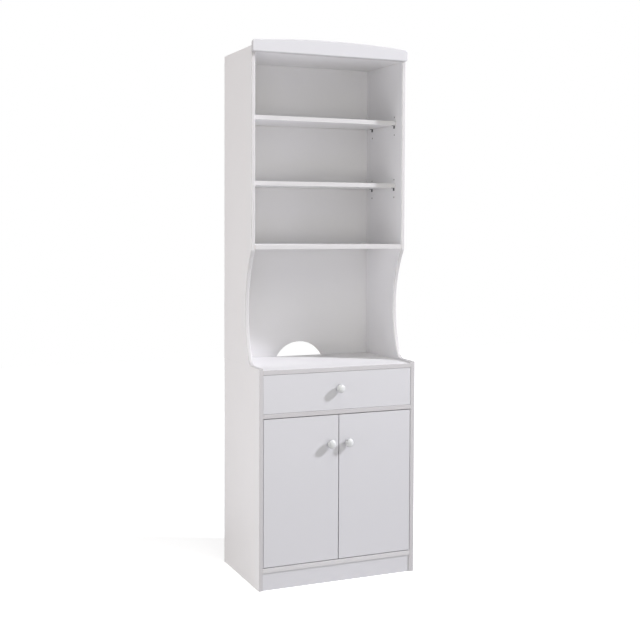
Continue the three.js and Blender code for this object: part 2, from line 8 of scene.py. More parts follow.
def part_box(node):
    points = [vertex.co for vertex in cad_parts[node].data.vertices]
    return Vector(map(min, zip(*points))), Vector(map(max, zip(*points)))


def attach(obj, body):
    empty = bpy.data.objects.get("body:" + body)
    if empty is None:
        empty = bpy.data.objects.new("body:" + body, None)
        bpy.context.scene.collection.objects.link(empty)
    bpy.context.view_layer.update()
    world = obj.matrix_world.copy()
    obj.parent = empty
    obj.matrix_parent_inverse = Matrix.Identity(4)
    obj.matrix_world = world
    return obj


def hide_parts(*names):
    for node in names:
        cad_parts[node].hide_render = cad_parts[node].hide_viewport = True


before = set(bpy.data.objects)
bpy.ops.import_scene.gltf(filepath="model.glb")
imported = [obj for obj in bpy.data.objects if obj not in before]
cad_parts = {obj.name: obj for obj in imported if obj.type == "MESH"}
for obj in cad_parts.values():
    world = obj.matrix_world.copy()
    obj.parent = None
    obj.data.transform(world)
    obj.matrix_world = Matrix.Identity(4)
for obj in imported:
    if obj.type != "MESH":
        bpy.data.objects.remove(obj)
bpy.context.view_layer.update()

scene = bpy.context.scene
scene.view_settings.view_transform = "Standard"


# Camera: it stands at the cabinet's left front, at two thirds of its height, and looks slightly down.
# The lens is shifted down a little as well, so that the uprights stay nearly upright.
CAMERA_PLACE = (-1.578, -3.635, 1.247)
CAMERA_YAW = -23.47
CAMERA_PITCH = -2.33
CAMERA_ROLL = 0.23
PICTURE_SIZE = 640
FOCAL_PIXELS = 1105.0
OPTICAL_AXIS_ROW = 268.1
SENSOR_WIDTH = 36.0

camera_data = bpy.data.cameras.new("camera")
camera_data.sensor_width = SENSOR_WIDTH
camera_data.lens = FOCAL_PIXELS / PICTURE_SIZE * SENSOR_WIDTH
camera_data.shift_y = (OPTICAL_AXIS_ROW - PICTURE_SIZE / 2) / PICTURE_SIZE
camera = bpy.data.objects.new("camera", camera_data)
scene.collection.objects.link(camera)
camera.matrix_world = (
    Matrix.Translation(CAMERA_PLACE)
    @ Matrix.Rotation(math.radians(CAMERA_YAW), 4, "Z")
    @ Matrix.Rotation(math.radians(90 + CAMERA_PITCH), 4, "X")
    @ Matrix.Rotation(math.radians(CAMERA_ROLL), 4, "Z")
)
scene.camera = camera


# Studio: a white surround, which the camera and the gloss see as plain white, and a matt white floor
# that keeps the cabinet's soft shadow and fades to plain white further away.
FLOOR_HALF = 6.0
FLOOR_COLOUR = (0.60, 0.60, 0.61, 1)
FLOOR_LIFT = 0.84
FLOOR_FADE = (0.8, 2.6)
SURROUND_COLOUR = (0.93, 0.94, 1.0, 1)
SURROUND_LIGHT = 0.01
PLAIN_WHITE = (1, 1, 1, 1)


def wire(tree, made, values):
    """Set a node's input values, and link those that come from another node."""
    for key, value in values.items():
        if isinstance(value, bpy.types.NodeSocket):
            tree.links.new(value, made.inputs[key])
        else:
            made.inputs[key].default_value = value
    return made


def node(tree, kind, values, **settings):
    """A new node with its settings and inputs."""
    made = tree.nodes.new(kind)
    for key, value in settings.items():
        setattr(made, key, value)
    return wire(tree, made, values)


def calculate(tree, operation, *terms):
    """The result of one sum on numbers."""
    return node(tree, "ShaderNodeMath", dict(enumerate(terms)), operation=operation).outputs[0]


def spread(tree, value, low, high, new_low, new_high):
    """A value's range moved to a new range, and held there."""
    values = {
        "Value": value, "From Min": low, "From Max": high, "To Min": new_low, "To Max": new_high,
    }
    return node(tree, "ShaderNodeMapRange", values).outputs["Result"]


def white_to_camera(tree, light, white):
    """Mix a light closure with plain white for camera, glossy and transmission rays."""
    rays = tree.nodes.new("ShaderNodeLightPath").outputs
    either = calculate(tree, "MAXIMUM", rays["Is Camera Ray"], rays["Is Glossy Ray"])
    any_ray = calculate(tree, "MAXIMUM", either, rays["Is Transmission Ray"])
    return node(tree, "ShaderNodeMixShader", {0: any_ray, 1: light, 2: white}).outputs[0]


world = bpy.data.worlds.new("white surround")
world.use_nodes = True
tree = world.node_tree
tree.nodes.clear()
soft = node(tree, "ShaderNodeBackground", {"Color": SURROUND_COLOUR, "Strength": SURROUND_LIGHT})
white = node(tree, "ShaderNodeBackground", {"Color": PLAIN_WHITE, "Strength": 1.0})
mixed = white_to_camera(tree, soft.outputs[0], white.outputs[0])
node(tree, "ShaderNodeOutputWorld", {"Surface": mixed})
scene.world = world

floor_mesh = bpy.data.meshes.new("floor")
floor_corners = [
    (FLOOR_HALF * x, FLOOR_HALF * y, 0) for x, y in ((-1, -1), (1, -1), (1, 1), (-1, 1))
]
floor_mesh.from_pydata(floor_corners, [], [(0, 1, 2, 3)])
floor = bpy.data.objects.new("floor", floor_mesh)
scene.collection.objects.link(floor)
floor_material = bpy.data.materials.new("matt white floor")
floor_material.use_nodes = True
tree = floor_material.node_tree
tree.nodes.clear()
matt = node(tree, "ShaderNodeBsdfDiffuse", {"Color": FLOOR_COLOUR}).outputs[0]
place = tree.nodes.new("ShaderNodeTexCoord").outputs["Object"]
away = node(tree, "ShaderNodeVectorMath", {0: place}, operation="LENGTH").outputs["Value"]
fade = spread(tree, away, *FLOOR_FADE, FLOOR_LIFT, 1.0)
lift = node(tree, "ShaderNodeEmission", {"Color": PLAIN_WHITE, "Strength": fade}).outputs[0]
lifted = node(tree, "ShaderNodeAddShader", {0: matt, 1: lift}).outputs[0]
mixed = white_to_camera(tree, matt, lifted)
node(tree, "ShaderNodeOutputMaterial", {"Surface": mixed})
floor.data.materials.append(floor_material)


# Lamps: a key from high on the right that grazes the front, as the knobs' long shadows show,
# and wide soft boxes on the left and in front that open up the shade.
def soft_box(name, place, aim, width, height, watts, colour):
    """A rectangular lamp at a place, turned to its aim; all lengths are in metres."""
    data = bpy.data.lights.new(name, "AREA")
    data.shape = "RECTANGLE"
    data.size = width
    data.size_y = height
    data.energy = watts
    data.color = colour
    lamp = bpy.data.objects.new(name, data)
    lamp.location = place
    direction = Vector(aim) - Vector(place)
    lamp.rotation_euler = direction.to_track_quat("-Z", "Y").to_euler()
    scene.collection.objects.link(lamp)


soft_box("key", (6.15, -3.42, 5.28), (0, -0.17, 0.6), 0.63, 0.63, 770, (0.93, 0.93, 1.0))
soft_box("top", (-0.1, -0.9, 3.5), (0, -0.1, 0.8), 1.4, 1.0, 18, (1.0, 1.0, 1.0))
soft_box("left_low", (-3.0, -0.8, 0.6), (0, 0, 0.7), 1.6, 1.2, 22, (1.0, 1.0, 1.0))
soft_box("left_far", (-8.0, 2.4, 0.7), (0, 0.1, 0.9), 3.5, 3.5, 292, (1.0, 0.93, 0.89))
soft_box("left_front", (-2.0, -3.0, 1.5), (0, 0, 1.0), 1.2, 1.6, 14.5, (0.86, 0.86, 1.0))
soft_box("front_wide", (-0.6, -4.2, 0.9), (0, 0, 1.2), 2.4, 1.4, 29, (1.0, 0.985, 0.83))
soft_box("front_high", (0.0, -3.2, 2.9), (0, 0, 1.0), 1.6, 1.2, 16, (1.0, 1.0, 0.9))
soft_box("front_below", (0.4, -1.2, 0.9), (0, -0.2, 1.9), 0.8, 0.4, 1.2, (1.0, 1.0, 1.0))


# Base sides: two uprights of 15 mm chipboard, faced with white melamine and edged in front and on
# top with a thin white band. They are sawn square and drilled with blind holes for the shelf pins.
MM = 0.001
BOARD_ARRIS = 0.6
OVERCUT = 1
SHARP_TURN = math.radians(25)
SMOOTH_TURN = math.radians(35)
MOST_SKINS = 4
PIN_PITCH = 32
PIN_DROP = 2.6
PIN_HOLE_RADIUS = 2.75
PIN_HOLE_DEPTH = 9
INNER_X = 280
BOARD_WHITE = (0.79, 0.782, 0.787, 1)
BAND_WHITE = (0.56, 0.547, 0.549, 1)
BASE_BAND_WHITE = (0.49, 0.475, 0.48, 1)
RUBBED_WHITE = (0.60, 0.585, 0.57, 1)
DUST_GREY = (0.62, 0.60, 0.57, 1)
CHIP_LIGHT = (0.56, 0.42, 0.27, 1)
CHIP_DARK = (0.26, 0.16, 0.09, 1)
# Painted shade: the walls of the drilled holes are made near black, for the dark inside of each hole.
PAINTED_HOLE_SHADE_LIGHT = (0.11, 0.08, 0.06, 1)
PAINTED_HOLE_SHADE_DARK = (0.04, 0.03, 0.02, 1)


def node_group(name, inputs, outputs):
    """A new shader node group with the named sockets, and its input and output nodes."""
    group = bpy.data.node_groups.new(name, "ShaderNodeTree")
    for socket_name, socket_type, value in inputs:
        socket = group.interface.new_socket(socket_name, in_out="INPUT", socket_type=socket_type)
        socket.default_value = value
    for socket_name, socket_type in outputs:
        group.interface.new_socket(socket_name, in_out="OUTPUT", socket_type=socket_type)
    start = group.nodes.new("NodeGroupInput")
    end = group.nodes.new("NodeGroupOutput")
    return group, start, end


def group_node(tree, group, values):
    """A shader node group placed in a tree, with its own values."""
    made = tree.nodes.new("ShaderNodeGroup")
    made.node_tree = group
    return wire(tree, made, values)


def blend_colours(tree, factor, first, second):
    """The first colour, going over to the second with the factor."""
    values = {"Factor_Float": factor, "A_Color": first, "B_Color": second}
    made = tree.nodes.new("ShaderNodeMix")
    made.data_type = "RGBA"
    for socket in made.inputs:
        if socket.identifier in values:
            value = values[socket.identifier]
            if isinstance(value, bpy.types.NodeSocket):
                tree.links.new(value, socket)
            else:
                socket.default_value = value
    return next(s for s in made.outputs if s.identifier == "Result_Color")


def noise(tree, scale, detail=2.0, roughness=0.5):
    """Cloudy values fixed to the piece; the scale is in clouds per metre."""
    place = tree.nodes.new("ShaderNodeTexCoord").outputs["Object"]
    values = {"Vector": place, "Scale": scale, "Detail": detail, "Roughness": roughness}
    return node(tree, "ShaderNodeTexNoise", values).outputs["Fac"]


def satin_skin_group():
    """Tone, roughness and pearl of a pressed or sprayed white skin."""
    group, start, end = node_group(
        "satin skin",
        [
            ("Colour", "NodeSocketColor", (0.8, 0.8, 0.8, 1)),
            ("Tone", "NodeSocketFloat", 0.02),
            ("Roughness", "NodeSocketFloat", 0.4),
            ("Pearl", "NodeSocketFloat", 900.0),
        ],
        [("Colour", "NodeSocketColor"), ("Roughness", "NodeSocketFloat"), ("Height", "NodeSocketFloat")],
    )
    cloud = calculate(group, "SUBTRACT", noise(group, 4.0, 3.0), 0.5)
    amount = calculate(group, "MULTIPLY_ADD", cloud, start.outputs["Tone"], 1.0)
    terms = {0: start.outputs["Colour"], 1: amount}
    shaded = node(group, "ShaderNodeVectorMath", terms, operation="MULTIPLY").outputs[0]
    handled = spread(group, noise(group, 22.0, 5.0, 0.65), 0.3, 0.7, -0.05, 0.05)
    roughness = calculate(group, "ADD", start.outputs["Roughness"], handled)
    pearl = noise(group, start.outputs["Pearl"], 1.5)
    wire(group, end, {"Colour": shaded, "Roughness": roughness, "Height": pearl})
    return group


def worn_arris_group():
    """A mask of the places along an arris that hands and cloths have rubbed."""
    group, start, end = node_group(
        "worn arris",
        [("Width", "NodeSocketFloat", 0.001), ("Amount", "NodeSocketFloat", 0.5)],
        [("Mask", "NodeSocketFloat")],
    )
    rounded = node(group, "ShaderNodeBevel", {"Radius": start.outputs["Width"]}, samples=4)
    own = group.nodes.new("ShaderNodeNewGeometry")
    terms = {0: rounded.outputs[0], 1: own.outputs["Normal"]}
    likeness = node(group, "ShaderNodeVectorMath", terms, operation="DOT_PRODUCT")
    edge = spread(group, likeness.outputs["Value"], 0.995, 0.86, 0.0, 1.0)
    rubbed = spread(group, noise(group, 45.0, 4.0, 0.6), 0.38, 0.62, 0.15, 1.0)
    worn = calculate(group, "MULTIPLY", edge, rubbed)
    wire(group, end, {"Mask": calculate(group, "MULTIPLY", worn, start.outputs["Amount"])})
    return group


def settled_dust_group():
    """A mask of the fine dust that lies on what faces up."""
    group, start, end = node_group(
        "settled dust", [("Amount", "NodeSocketFloat", 0.2)], [("Mask", "NodeSocketFloat")]
    )
    own = group.nodes.new("ShaderNodeNewGeometry")
    facing = node(group, "ShaderNodeSeparateXYZ", {0: own.outputs["Normal"]})
    up = spread(group, facing.outputs["Z"], 0.7, 1.0, 0.0, 1.0)
    patches = spread(group, noise(group, 9.0, 6.0, 0.7), 0.35, 0.7, 0.2, 1.0)
    lying = calculate(group, "MULTIPLY", up, patches)
    wire(group, end, {"Mask": calculate(group, "MULTIPLY", lying, start.outputs["Amount"])})
    return group


def pressed_chips_group():
    """Colour and height of pressed wood chips, as at a sawn edge, or with near black colours as the
    painted shade in a drilled hole.
    """
    group, start, end = node_group(
        "pressed chips",
        [
            ("Light", "NodeSocketColor", (0.5, 0.4, 0.25, 1)),
            ("Dark", "NodeSocketColor", (0.2, 0.1, 0.05, 1)),
            ("Chips", "NodeSocketFloat", 450.0),
        ],
        [("Colour", "NodeSocketColor"), ("Height", "NodeSocketFloat")],
    )
    place = group.nodes.new("ShaderNodeTexCoord").outputs["Object"]
    chips = node(group, "ShaderNodeTexVoronoi", {"Vector": place, "Scale": start.outputs["Chips"]})
    shade = node(group, "ShaderNodeSeparateColor", {0: chips.outputs["Color"]}).outputs[0]
    fibres = spread(group, noise(group, 1500.0, 3.0), 0.3, 0.7, 0.0, 1.0)
    mixed = calculate(group, "MULTIPLY", shade, fibres)
    colour = blend_colours(group, mixed, start.outputs["Light"], start.outputs["Dark"])
    wire(group, end, {"Colour": colour, "Height": chips.outputs["Distance"]})
    return group


SATIN_SKIN = satin_skin_group()
WORN_ARRIS = worn_arris_group()
SETTLED_DUST = settled_dust_group()
PRESSED_CHIPS = pressed_chips_group()


def new_material(name):
    """A new material, with its node tree and its Principled shader."""
    material = bpy.data.materials.new(name)
    material.use_nodes = True
    tree = material.node_tree
    return material, tree, tree.nodes["Principled BSDF"]


def add_bump(tree, shader, height, strength, depth):
    """A fine relief; the depth is in metres."""
    values = {"Height": height, "Strength": strength, "Distance": depth}
    wire(tree, shader, {"Normal": node(tree, "ShaderNodeBump", values).outputs[0]})


def satin_white(name, colour, roughness, pearl=900.0, bump=0.06, wear=0.3, dust=0.1):
    """A white skin with its tone, pearl, rubbed arrises and a little dust."""
    material, tree, shader = new_material(name)
    skin = group_node(
        tree, SATIN_SKIN, {"Colour": colour, "Tone": 0.03, "Pearl": pearl, "Roughness": roughness}
    )
    worn = group_node(tree, WORN_ARRIS, {"Width": 0.0012, "Amount": wear}).outputs["Mask"]
    lying = group_node(tree, SETTLED_DUST, {"Amount": dust}).outputs["Mask"]
    rubbed = blend_colours(tree, worn, skin.outputs["Colour"], RUBBED_WHITE)
    dusty = blend_colours(tree, lying, rubbed, DUST_GREY)
    dulled = calculate(tree, "MULTIPLY_ADD", lying, 0.6, skin.outputs["Roughness"])
    wire(tree, shader, {"Base Color": dusty, "Roughness": dulled})
    add_bump(tree, shader, skin.outputs["Height"], bump, 0.0004)
    return material


def pressed_board(name, light, dark, chips):
    """Bare pressed wood at the sawn edges; in the drilled holes it is darkened to near black as painted
    shade.
    """
    material, tree, shader = new_material(name)
    core = group_node(tree, PRESSED_CHIPS, {"Light": light, "Dark": dark, "Chips": chips})
    wire(tree, shader, {"Base Color": core.outputs["Colour"], "Roughness": 0.85})
    add_bump(tree, shader, core.outputs["Height"], 0.5, 0.0006)
    return material


white_melamine = satin_white("white melamine", BOARD_WHITE, 0.42)
edge_band = satin_white("white edge band", BAND_WHITE, 0.38, pearl=1400.0, bump=0.03, wear=0.45)
bare_chipboard = pressed_board("bare chipboard", CHIP_LIGHT, CHIP_DARK, 450.0)
# Painted shade: near black chips on the drilled holes' walls stand in for the dark inside of each hole.
hole_shade_chipboard = pressed_board("chipboard with painted hole shade", PAINTED_HOLE_SHADE_LIGHT, PAINTED_HOLE_SHADE_DARK, 700.0)
base_band = satin_white("base edge band", BASE_BAND_WHITE, 0.42, pearl=1400.0, bump=0.03, wear=0.6)
BOARD_SKINS = [white_melamine, edge_band, bare_chipboard, hole_shade_chipboard]
BASE_SKINS = [white_melamine, base_band, bare_chipboard, hole_shade_chipboard]


def corners(name):
    """A CAD piece's lowest and highest corners at rest, in mm."""
    low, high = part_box(name)
    return [c / MM for c in low], [c / MM for c in high]


def middle(name):
    """The middle of a CAD piece's box, in mm."""
    low, high = corners(name)
    return [(a + b) / 2 for a, b in zip(low, high)]


def lay_out(points, axis, at):
    """A flat outline in mm, placed across an axis: X takes (y, z), Y (x, z) and Z (x, y)."""
    if axis == "X":
        return [Vector((at, a, b)) * MM for a, b in points]
    if axis == "Y":
        return [Vector((a, at, b)) * MM for a, b in points]
    return [Vector((a, b, at)) * MM for a, b in points]


def saw(stock, outline, axis, start, end, skin=0):
    """A bar of the outline from start to end along the axis, as its faces with both ends first."""
    one = [stock.verts.new(point) for point in lay_out(outline, axis, start)]
    two = [stock.verts.new(point) for point in lay_out(outline, axis, end)]
    faces = [stock.faces.new(one), stock.faces.new(two)]
    for i in range(len(outline)):
        j = (i + 1) % len(outline)
        faces.append(stock.faces.new((one[i], one[j], two[j], two[i])))
    for face in faces:
        face.material_index = skin
    bmesh.ops.recalc_face_normals(stock, faces=faces)
    return faces


def saw_block(stock, low, high, skin=0):
    """A square block between two corners."""
    outline = [(low[1], low[2]), (high[1], low[2]), (high[1], high[2]), (low[1], high[2])]
    return saw(stock, outline, "X", low[0], high[0], skin)


def sharp_edges(faces):
    """The edges where the faces turn by more than a slight angle."""
    edges = {edge for face in faces for edge in face.edges}
    return [edge for edge in edges if edge.calc_face_angle(0) > SHARP_TURN]


def ease(stock, edges, width, steps=2):
    """Round the edges by a width in mm."""
    bmesh.ops.bevel(
        stock, geom=edges, offset=width * MM, segments=steps, profile=0.5, affect="EDGES",
        clamp_overlap=True,
    )


def turn(stock, profile, axis, centre, sides=32, skin=0, ring=False):
    """Turn (radius, place along the axis) points about an axis; a ring's profile closes on itself."""
    rows = []
    for radius, along in profile:
        if radius == 0:
            rows.append([stock.verts.new(lay_out([centre], axis, along)[0])])
            continue
        circle = [
            (
                centre[0] + radius * math.cos(math.tau * k / sides),
                centre[1] + radius * math.sin(math.tau * k / sides),
            )
            for k in range(sides)
        ]
        rows.append([stock.verts.new(point) for point in lay_out(circle, axis, along)])
    pairs = list(zip(rows, rows[1:]))
    if ring:
        pairs.append((rows[-1], rows[0]))
    faces = []
    for one, two in pairs:
        for k in range(sides):
            n = (k + 1) % sides
            around = (one[k % len(one)], one[n % len(one)], two[n % len(two)], two[k % len(two)])
            faces.append(stock.faces.new(list(dict.fromkeys(around))))
    for face in faces:
        face.material_index = skin
    bmesh.ops.recalc_face_normals(stock, faces=faces)
    return faces


def skin_faces(stock, faced, banded=""):
    """Skin 0 on the faced sides, 1 on the banded ones and 2, bare board, on the rest."""
    stock.normal_update()
    for face in stock.faces:
        axis = max(range(3), key=lambda i: abs(face.normal[i]))
        side = ("+" if face.normal[axis] > 0 else "-") + "XYZ"[axis]
        face.material_index = 0 if side in faced else 1 if side in banded else 2


def cut_out(stock, tool):
    """The stock with the tool's shape cut out of it; the cut shows the tool's skin."""
    blanks = []
    for part in (stock, tool):
        mesh = bpy.data.meshes.new("blank")
        part.to_mesh(mesh)
        part.free()
        for _ in range(MOST_SKINS):
            mesh.materials.append(None)
        blank = bpy.data.objects.new("blank", mesh)
        scene.collection.objects.link(blank)
        blanks.append(blank)
    cut = blanks[0].modifiers.new("cut", "BOOLEAN")
    cut.operation = "DIFFERENCE"
    cut.solver = "EXACT"
    cut.object = blanks[1]
    result = bmesh.new()
    result.from_object(blanks[0], bpy.context.evaluated_depsgraph_get())
    for blank in blanks:
        mesh = blank.data
        bpy.data.objects.remove(blank)
        bpy.data.meshes.remove(mesh)
    return result


def make_piece(name, stock, skins):
    """The finished piece: smooth over its rounded edges and flat on its faces."""
    mesh = bpy.data.meshes.new(f"{name}_finished")
    stock.to_mesh(mesh)
    stock.free()
    for skin in skins:
        mesh.materials.append(skin)
    mesh.shade_smooth()
    mesh.set_sharp_from_angle(angle=SMOOTH_TURN)
    piece = bpy.data.objects.new(f"{name}_finished", mesh)
    scene.collection.objects.link(piece)
    piece.modifiers.new("flat faces", "WEIGHTED_NORMAL").keep_sharp = True
    return piece


def cut_board(name, arris=BOARD_ARRIS):
    """Stock of a flat board in a CAD piece's place."""
    stock = bmesh.new()
    ease(stock, sharp_edges(saw_block(stock, *corners(name))), arris)
    return stock


def pin_drill(side, shelves):
    """Blind holes for the shelf pins, in threes about the pins in use; their walls take the painted hole
    shade.
    """
    tool = bmesh.new()
    hand = -1 if side == "left" else 1
    profile = [
        (0, hand * (INNER_X + PIN_HOLE_DEPTH)),
        (PIN_HOLE_RADIUS, hand * (INNER_X + PIN_HOLE_DEPTH)),
        (PIN_HOLE_RADIUS, hand * (INNER_X - OVERCUT)),
        (0, hand * (INNER_X - OVERCUT)),
    ]
    for shelf in shelves:
        for end in ("front", "rear"):
            pin = f"{shelf}_pin_{side}_{end}"
            row = middle(pin)[1]
            height = corners(pin)[1][2] - PIN_DROP
            for step in (-1, 0, 1):
                turn(tool, profile, "X", (row, height + step * PIN_PITCH), 24, skin=3)
    return tool


for side in ("left", "right"):
    name = f"base_side_{side}"
    stock = cut_board(name)
    skin_faces(stock, "+X -X", "-Y +Z")
    piece = make_piece(name, cut_out(stock, pin_drill(side, ["cupboard"])), BASE_SKINS)
    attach(piece, "cabinet")
    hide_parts(name)


# Floor, plinth, rail, counter, shelves and top: the same boards laid between the sides, on hidden
# dowels and cams or on pins. They are banded in front and bare chipboard at their other edges. Rail
# and counter have the base's duller band, and the plinth is sprayed white as the doors are.
FRONT_WHITE = (0.562, 0.556, 0.572, 1)
sprayed_white = satin_white("sprayed white", FRONT_WHITE, 0.36, pearl=600.0, bump=0.03)
FRONT_SKINS = [sprayed_white, sprayed_white, bare_chipboard]
LAID_BOARDS = {
    "base_panel": BOARD_SKINS,
    "plinth": FRONT_SKINS,
    "drawer_rail": BASE_SKINS,
    "counter": BASE_SKINS,
    "cupboard_shelf": BOARD_SKINS,
    "fixed_shelf": BOARD_SKINS,
    "shelf_lower": BOARD_SKINS,
    "shelf_upper": BOARD_SKINS,
    "top_panel": BOARD_SKINS,
}
for name, skins in LAID_BOARDS.items():
    stock = cut_board(name)
    if name == "plinth":
        skin_faces(stock, "+Y -Y", "-Z")
    else:
        skin_faces(stock, "+Z -Z", "-Y")
    piece = make_piece(name, stock, skins)
    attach(piece, "cabinet")
    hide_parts(name)


# Hutch sides: straight down to the fixed shelf, then scooped back along a long curve that ends in
# a thin toe on the base side. The edges are routed round; the foot and the rear edge stay square.
SCOOP_RADIUS = 390
SCOOP_DEPTH = 63
SCOOP_MIDDLE = 193
TOE_RADIUS = 28
TOE_HEIGHT = 3
TOE_TIP = 2
SIDE_ROUND = 2.8
SIDE_EXCESS = 8
COUNTER_TOP = corners("counter")[1][2]
HUTCH_FRONT = corners("top_panel")[0][1]


def arc(centre, radius, start, end, steps):
    """Points along an arc; the angles are in radians."""
    angles = [start + (end - start) * k / steps for k in range(steps + 1)]
    return [(centre[0] + radius * math.cos(a), centre[1] + radius * math.sin(a)) for a in angles]


def hutch_side_outline(low, high):
    """The side in (y, z), with excess stock below and behind."""
    scoop_y = HUTCH_FRONT + SCOOP_DEPTH - SCOOP_RADIUS
    scoop_z = COUNTER_TOP + SCOOP_MIDDLE
    toe_z = low[2] + TOE_HEIGHT + TOE_RADIUS
    toe_y = scoop_y + math.sqrt((SCOOP_RADIUS - TOE_RADIUS) ** 2 - (scoop_z - toe_z) ** 2)
    meeting = math.atan2(toe_z - scoop_z, toe_y - scoop_y)
    upper = math.acos((HUTCH_FRONT - scoop_y) / SCOOP_RADIUS)
    return [
        (high[1] + SIDE_EXCESS, low[2] - SIDE_EXCESS),
        (low[1], low[2] - SIDE_EXCESS),
        (low[1], low[2] + TOE_TIP),
        *arc((toe_y, toe_z), TOE_RADIUS, -math.pi / 2, meeting, 12),
        *arc((scoop_y, scoop_z), SCOOP_RADIUS, meeting, upper, 40)[1:],
        (HUTCH_FRONT, high[2]),
        (high[1] + SIDE_EXCESS, high[2]),
    ]


def saw_off(stock, place, way):
    """Saw off what lies beyond a place in mm, square to the way, and close the cut."""
    everything = [*stock.verts, *stock.edges, *stock.faces]
    cut = bmesh.ops.bisect_plane(
        stock, geom=everything, plane_co=Vector(place) * MM, plane_no=way, clear_outer=True
    )
    rim = [part for part in cut["geom_cut"] if isinstance(part, bmesh.types.BMEdge)]
    bmesh.ops.contextual_create(stock, geom=rim)


for side in ("left", "right"):
    name = f"hutch_side_{side}"
    low, high = corners(name)
    stock = bmesh.new()
    ends = saw(stock, hutch_side_outline(low, high), "X", low[0], high[0])[:2]
    ease(stock, list({edge for end in ends for edge in end.edges}), SIDE_ROUND, 4)
    saw_off(stock, low, (0, 0, -1))
    saw_off(stock, high, (0, 1, 0))
    bmesh.ops.recalc_face_normals(stock, faces=stock.faces)
    skin_faces(stock, "+X -X", "-Y +Z")
    piece = make_piece(name, cut_out(stock, pin_drill(side, ["lower", "upper"])), BOARD_SKINS)
    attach(piece, "cabinet")
    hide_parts(name)


# Crown board: an arched board with rounded corners and edges, sprayed white all over and screwed
# from behind to the front of the hutch's top.
CROWN_MIDDLE = 51.5
CROWN_END = 39.3
CROWN_CORNER = 11
CROWN_FOOT = 6
CROWN_ROUND = 3.5


def crown_outline(low, high):
    """The crown in (x, z)."""
    half = high[0]
    rise = CROWN_MIDDLE - CROWN_END
    radius = (half ** 2 + rise ** 2) / (2 * rise)
    arch_z = low[2] + CROWN_MIDDLE - radius
    corner_x = half - CROWN_CORNER
    corner_z = arch_z + math.sqrt((radius - CROWN_CORNER) ** 2 - corner_x ** 2)
    meeting = math.atan2(corner_z - arch_z, corner_x)
    foot_x = half - CROWN_FOOT
    foot_z = low[2] + CROWN_FOOT
    return [
        *arc((-foot_x, foot_z), CROWN_FOOT, math.pi, 1.5 * math.pi, 8),
        *arc((foot_x, foot_z), CROWN_FOOT, -math.pi / 2, 0, 8),
        *arc((corner_x, corner_z), CROWN_CORNER, 0, meeting, 8),
        *arc((0, arch_z), radius, meeting, math.pi - meeting, 32)[1:-1],
        *arc((-corner_x, corner_z), CROWN_CORNER, math.pi - meeting, math.pi, 8),
    ]


low, high = corners("crown_board")
stock = bmesh.new()
ends = saw(stock, crown_outline(low, high), "Y", low[1], high[1])[:2]
ease(stock, list({edge for end in ends for edge in end.edges}), CROWN_ROUND, 4)
piece = make_piece("crown_board", stock, [sprayed_white])
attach(piece, "cabinet")
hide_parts("crown_board")


# Backs: sheets of hardboard, lacquered white in front and brown with a pressed screen pattern
# behind, nailed to the rear edges. The upper one has an arch for the cable.
BACK_SHEET = 2.6
SHEET_ARRIS = 0.3
NAIL_PITCH = 88
NAIL_ROW_PITCH = 101.2
NAIL_MARGIN = 20
NAIL_SIDES = 14
NAIL_HEAD = [(0, 0.38), (1.6, 0.33), (2.5, 0.1), (2.5, -0.3), (0, -0.3)]
NAIL_X = 287.5
ARCH_RADIUS = 103
ARCH_HEIGHT = 53
SHEET_WHITE = (0.70, 0.692, 0.707, 1)
SHEET_LIGHT = (0.34, 0.22, 0.13, 1)
SHEET_DARK = (0.20, 0.12, 0.07, 1)
white_hardboard = satin_white("white hardboard", SHEET_WHITE, 0.5, pearl=500.0, wear=0.0)


def brown_hardboard(screen):
    """The rough rear of hardboard, with the pattern of the screen that it was pressed on."""
    material, tree, shader = new_material("brown hardboard")
    core = group_node(
        tree, PRESSED_CHIPS, {"Light": SHEET_LIGHT, "Dark": SHEET_DARK, "Chips": 900.0}
    )
    wire(tree, shader, {"Base Color": core.outputs["Colour"], "Roughness": 0.8})
    place = tree.nodes.new("ShaderNodeTexCoord").outputs["Object"]
    waves = [
        node(
            tree, "ShaderNodeTexWave", {"Vector": place, "Scale": screen}, bands_direction=way
        ).outputs["Fac"]
        for way in ("X", "Z")
    ]
    add_bump(tree, shader, calculate(tree, "MULTIPLY", *waves), 0.5, 0.0003)
    return material


def plated_steel(name, colour, roughness, drawn=(700.0, 90.0)):
    """Plated steel: fine streaks from drawing, and a cloudy dulling from age."""
    material, tree, shader = new_material(name)
    streaks = spread(tree, noise(tree, drawn[0], 4.0, 0.7), 0.3, 0.7, -0.06, 0.06)
    age = spread(tree, noise(tree, drawn[1], 5.0, 0.6), 0.4, 0.7, 0.0, 0.5)
    dull = [0.72 * part for part in colour[:3]] + [1]
    aged = blend_colours(tree, age, colour, dull)
    varied = calculate(tree, "ADD", streaks, roughness)
    dulled = calculate(tree, "MULTIPLY_ADD", age, 0.15, varied)
    wire(tree, shader, {"Base Color": aged, "Metallic": 1.0, "Roughness": dulled})
    add_bump(tree, shader, noise(tree, drawn[0], 4.0, 0.7), 0.08, 0.0002)
    return material


rough_hardboard = brown_hardboard(260.0)
zinc_steel = plated_steel("zinc plated steel", (0.52, 0.53, 0.56, 1), 0.36)
SHEET_SKINS = [white_hardboard, white_hardboard, rough_hardboard, zinc_steel]


def nail_sheet(name, stock, rows):
    """Nail heads on the rear of a sheet: up both sides and along the heights of the rows."""
    low, high = corners(name)
    face = low[1] + BACK_SHEET
    head = [(radius, face + height) for radius, height in NAIL_HEAD]
    lowest = low[2] + NAIL_MARGIN
    rise = high[2] - NAIL_MARGIN - lowest
    steps = round(rise / NAIL_PITCH)
    spots = [(hand * NAIL_X, lowest + rise * k / steps) for hand in (-1, 1) for k in range(steps + 1)]
    spots += [(k * NAIL_ROW_PITCH, height) for height in rows for k in range(-2, 3)]
    for spot in spots:
        turn(stock, head, "Y", spot, NAIL_SIDES, skin=3)


